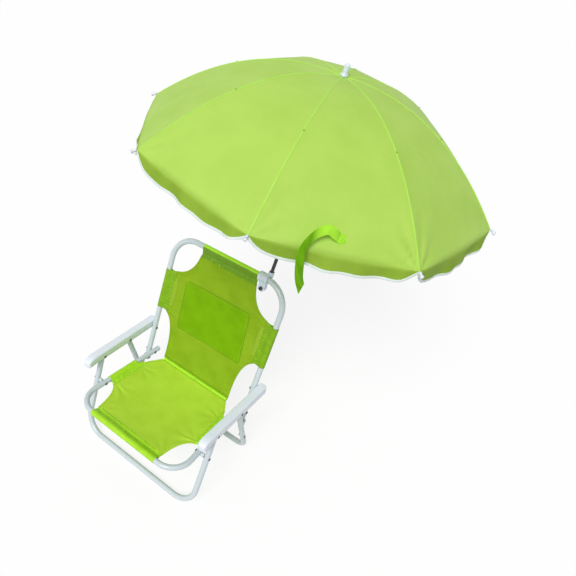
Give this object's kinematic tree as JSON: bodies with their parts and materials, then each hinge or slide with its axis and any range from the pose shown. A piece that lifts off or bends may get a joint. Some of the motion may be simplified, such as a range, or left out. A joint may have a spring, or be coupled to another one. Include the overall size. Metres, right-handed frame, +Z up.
{
  "type": "folding beach chair",
  "caption": "Low folding beach chair for a child, with a cloth sling on bent tubes, flat armrests and a parasol clamped to its top rail.",
  "frame": {"origin": "on the floor, under the middle of the overall box of the open chair and its open parasol", "axes": "+Z up, which is the longest way; the chair faces -Y and +X is the sitter's left"},
  "size_m": [0.6756, 0.7784, 0.8896],
  "materials": {
    "white_steel": "gloss powder coat",
    "lime_cloth": "woven",
    "green_cloth": "woven, deeper green",
    "dark_steel": "dark",
    "wire_steel": "drawn wire",
    "clear_plastic": "milky, slightly translucent",
    "black_plastic": "moulded"
  },
  "bodies": {
    "seat": {"seat_frame": "white_steel", "seat_sling": "lime_cloth", "crease_seam": "lime_cloth", "seat_back_rivet_left": "dark_steel", "seat_back_rivet_right": "dark_steel", "seat_leg_rivet_left": "dark_steel", "seat_leg_rivet_right": "dark_steel"},
    "back": {"back_frame": "white_steel", "back_sling": "green_cloth", "back_pocket": "green_cloth", "brace_back_rivet_left": "dark_steel", "brace_back_rivet_right": "dark_steel"},
    "front_legs": {"front_leg_frame": "white_steel"},
    "armrest_left": {"armrest_left": "white_steel", "armrest_leg_rivet_left": "dark_steel", "armrest_rear_rivet_left": "dark_steel", "armrest_back_rivet_left": "dark_steel"},
    "armrest_right": {"armrest_right": "white_steel", "armrest_leg_rivet_right": "dark_steel", "armrest_rear_rivet_right": "dark_steel", "armrest_back_rivet_right": "dark_steel"},
    "rear_legs": {"rear_leg_frame": "white_steel", "brace_leg_rivet_left": "dark_steel", "brace_leg_rivet_right": "dark_steel"},
    "rear_brace_left": {"rear_brace_left": "white_steel"},
    "rear_brace_right": {"rear_brace_right": "white_steel"},
    "clamp": {"clamp": "clear_plastic"},
    "clamp_screw": {"clamp_screw": "black_plastic"},
    "parasol": {"pole": "dark_steel", "crown": "clear_plastic", "finial": "clear_plastic", "canopy": "lime_cloth", "tie_strap": "green_cloth"},
    "runner": {"runner": "clear_plastic"},
    "rib_0": {"rib_0": "wire_steel", "rib_cap_0": "clear_plastic"},
    "stretcher_0": {"stretcher_0": "wire_steel"},
    "rib_1": {"rib_1": "wire_steel", "rib_cap_1": "clear_plastic"},
    "stretcher_1": {"stretcher_1": "wire_steel"},
    "rib_2": {"rib_2": "wire_steel", "rib_cap_2": "clear_plastic"},
    "stretcher_2": {"stretcher_2": "wire_steel"},
    "rib_3": {"rib_3": "wire_steel", "rib_cap_3": "clear_plastic"},
    "stretcher_3": {"stretcher_3": "wire_steel"},
    "rib_4": {"rib_4": "wire_steel", "rib_cap_4": "clear_plastic"},
    "stretcher_4": {"stretcher_4": "wire_steel"},
    "rib_5": {"rib_5": "wire_steel", "rib_cap_5": "clear_plastic"},
    "stretcher_5": {"stretcher_5": "wire_steel"},
    "rib_6": {"rib_6": "wire_steel", "rib_cap_6": "clear_plastic"},
    "stretcher_6": {"stretcher_6": "wire_steel"},
    "rib_7": {"rib_7": "wire_steel", "rib_cap_7": "clear_plastic"},
    "stretcher_7": {"stretcher_7": "wire_steel"}
  },
  "joints": [
    {"name": "back_fold", "type": "hinge", "parent": "seat", "child": "back", "pos_m": [-0.1372, -0.13051, 0.13419], "axis": [1, 0, 0], "range_deg": [0, 95]},
    {"name": "front_leg_fold", "type": "hinge", "parent": "seat", "child": "front_legs", "pos_m": [-0.1372, -0.29857, 0.152], "axis": [1, 0, 0], "range_deg": [0, 95]},
    {"name": "armrest_left_fold", "type": "hinge", "parent": "back", "child": "armrest_left", "pos_m": [-0.1372, -0.10377, 0.1978], "axis": [1, 0, 0], "range_deg": [-95, 0]},
    {"name": "armrest_right_fold", "type": "hinge", "parent": "back", "child": "armrest_right", "pos_m": [-0.1372, -0.10377, 0.1978], "axis": [1, 0, 0], "range_deg": [-95, 0]},
    {"name": "rear_leg_fold", "type": "hinge", "parent": "armrest_right", "child": "rear_legs", "pos_m": [-0.1372, -0.18532, 0.20644], "axis": [1, 0, 0], "range_deg": [0, 64.7]},
    {"name": "rear_brace_left_fold", "type": "hinge", "parent": "back", "child": "rear_brace_left", "pos_m": [-0.1372, -0.1397, 0.11234], "axis": [1, 0, 0], "range_deg": [-169.7, 0]},
    {"name": "rear_brace_right_fold", "type": "hinge", "parent": "back", "child": "rear_brace_right", "pos_m": [-0.1372, -0.1397, 0.11234], "axis": [1, 0, 0], "range_deg": [-169.7, 0]},
    {"name": "clamp_tilt", "type": "hinge", "parent": "back", "child": "clamp", "pos_m": [-0.0427, -0.00011, 0.44439], "axis": [1, 0, 0], "range_deg": [-15, 15]},
    {"name": "clamp_screw_turn", "type": "hinge", "parent": "clamp", "child": "clamp_screw", "pos_m": [-0.0427, -0.00463, 0.41879], "axis": [0, 0.9848, -0.1736], "continuous": true},
    {"name": "parasol_turn", "type": "hinge", "parent": "clamp", "child": "parasol", "pos_m": [-0.03283, 0.00971, 0.45197], "axis": [0.1184, 0.15, 0.9816], "continuous": true},
    {"name": "rib_0_fold", "type": "hinge", "parent": "parasol", "child": "rib_0", "pos_m": [0.01242, 0.06514, 0.86929], "axis": [0.8538, -0.5201, -0.0235], "range_deg": [0, 65], "deforming": ["canopy"]},
    {"name": "rib_1_fold", "type": "hinge", "parent": "parasol", "child": "rib_1", "pos_m": [0.01964, 0.06398, 0.8686], "axis": [0.9622, 0.2268, -0.1507], "range_deg": [0, 65]},
    {"name": "rib_2_fold", "type": "hinge", "parent": "parasol", "child": "rib_2", "pos_m": [0.02549, 0.06822, 0.86725], "axis": [0.507, 0.8408, -0.1897], "range_deg": [0, 65]},
    {"name": "rib_3_fold", "type": "hinge", "parent": "parasol", "child": "rib_3", "pos_m": [0.02653, 0.07539, 0.86602], "axis": [-0.2453, 0.9623, -0.1175], "range_deg": [0, 65]},
    {"name": "rib_4_fold", "type": "hinge", "parent": "parasol", "child": "rib_4", "pos_m": [0.02216, 0.08129, 0.86565], "axis": [-0.8538, 0.5201, 0.0235], "range_deg": [0, 65]},
    {"name": "rib_5_fold", "type": "hinge", "parent": "parasol", "child": "rib_5", "pos_m": [0.01493, 0.08245, 0.86634], "axis": [-0.9622, -0.2268, 0.1507], "range_deg": [0, 65]},
    {"name": "rib_6_fold", "type": "hinge", "parent": "parasol", "child": "rib_6", "pos_m": [0.00909, 0.07821, 0.8677], "axis": [-0.507, -0.8408, 0.1897], "range_deg": [0, 65]},
    {"name": "rib_7_fold", "type": "hinge", "parent": "parasol", "child": "rib_7", "pos_m": [0.00805, 0.07104, 0.86892], "axis": [0.2453, -0.9623, 0.1175], "range_deg": [0, 65]},
    {"name": "stretcher_0_fold", "type": "hinge", "parent": "rib_0", "child": "stretcher_0", "pos_m": [-0.06377, -0.06002, 0.87096], "axis": [0.8538, -0.5201, -0.0235], "range_deg": [-130, 0]},
    {"name": "stretcher_1_fold", "type": "hinge", "parent": "rib_1", "child": "stretcher_1", "pos_m": [0.05191, -0.0787, 0.85986], "axis": [0.9622, 0.2268, -0.1507], "range_deg": [-130, 0]},
    {"name": "stretcher_2_fold", "type": "hinge", "parent": "rib_2", "child": "stretcher_2", "pos_m": [0.14549, -0.01069, 0.83818], "axis": [0.507, 0.8408, -0.1897], "range_deg": [-130, 0]},
    {"name": "stretcher_3_fold", "type": "hinge", "parent": "rib_3", "child": "stretcher_3", "pos_m": [0.16216, 0.10417, 0.81861], "axis": [-0.2453, 0.9623, -0.1175], "range_deg": [-130, 0]},
    {"name": "stretcher_4_fold", "type": "hinge", "parent": "rib_4", "child": "stretcher_4", "pos_m": [0.09215, 0.1986, 0.81262], "axis": [-0.8538, 0.5201, 0.0235], "range_deg": [-130, 0]},
    {"name": "stretcher_5_fold", "type": "hinge", "parent": "rib_5", "child": "stretcher_5", "pos_m": [-0.02353, 0.21728, 0.82372], "axis": [-0.9622, -0.2268, 0.1507], "range_deg": [-130, 0]},
    {"name": "stretcher_6_fold", "type": "hinge", "parent": "rib_6", "child": "stretcher_6", "pos_m": [-0.11711, 0.14927, 0.84541], "axis": [-0.507, -0.8408, 0.1897], "range_deg": [-130, 0]},
    {"name": "stretcher_7_fold", "type": "hinge", "parent": "rib_7", "child": "stretcher_7", "pos_m": [-0.13378, 0.03441, 0.86497], "axis": [0.2453, -0.9623, 0.1175], "range_deg": [-130, 0]},
    {"name": "runner_slide", "type": "slide", "parent": "parasol", "child": "runner", "axis": [0.1184, 0.15, 0.9816], "range_m": [-0.2316, 0]}
  ],
  "couplings": [
    {"joint": "front_leg_fold", "follows": "back_fold", "ratio": 1},
    {"joint": "armrest_left_fold", "follows": "back_fold", "ratio": -1},
    {"joint": "armrest_right_fold", "follows": "back_fold", "ratio": -1},
    {"joint": "rear_leg_fold", "follows": "back_fold", "ratio": 0.68},
    {"joint": "rear_brace_left_fold", "follows": "back_fold", "ratio": -1.786},
    {"joint": "rear_brace_right_fold", "follows": "back_fold", "ratio": -1.786},
    {"joint": "rib_1_fold", "follows": "rib_0_fold", "ratio": 1},
    {"joint": "rib_2_fold", "follows": "rib_0_fold", "ratio": 1},
    {"joint": "rib_3_fold", "follows": "rib_0_fold", "ratio": 1},
    {"joint": "rib_4_fold", "follows": "rib_0_fold", "ratio": 1},
    {"joint": "rib_5_fold", "follows": "rib_0_fold", "ratio": 1},
    {"joint": "rib_6_fold", "follows": "rib_0_fold", "ratio": 1},
    {"joint": "rib_7_fold", "follows": "rib_0_fold", "ratio": 1},
    {"joint": "stretcher_0_fold", "follows": "rib_0_fold", "ratio": -2},
    {"joint": "stretcher_1_fold", "follows": "rib_0_fold", "ratio": -2},
    {"joint": "stretcher_2_fold", "follows": "rib_0_fold", "ratio": -2},
    {"joint": "stretcher_3_fold", "follows": "rib_0_fold", "ratio": -2},
    {"joint": "stretcher_4_fold", "follows": "rib_0_fold", "ratio": -2},
    {"joint": "stretcher_5_fold", "follows": "rib_0_fold", "ratio": -2},
    {"joint": "stretcher_6_fold", "follows": "rib_0_fold", "ratio": -2},
    {"joint": "stretcher_7_fold", "follows": "rib_0_fold", "ratio": -2},
    {"joint": "runner_slide", "follows": "rib_0_fold", "m_per_rad": -0.20375}
  ]
}
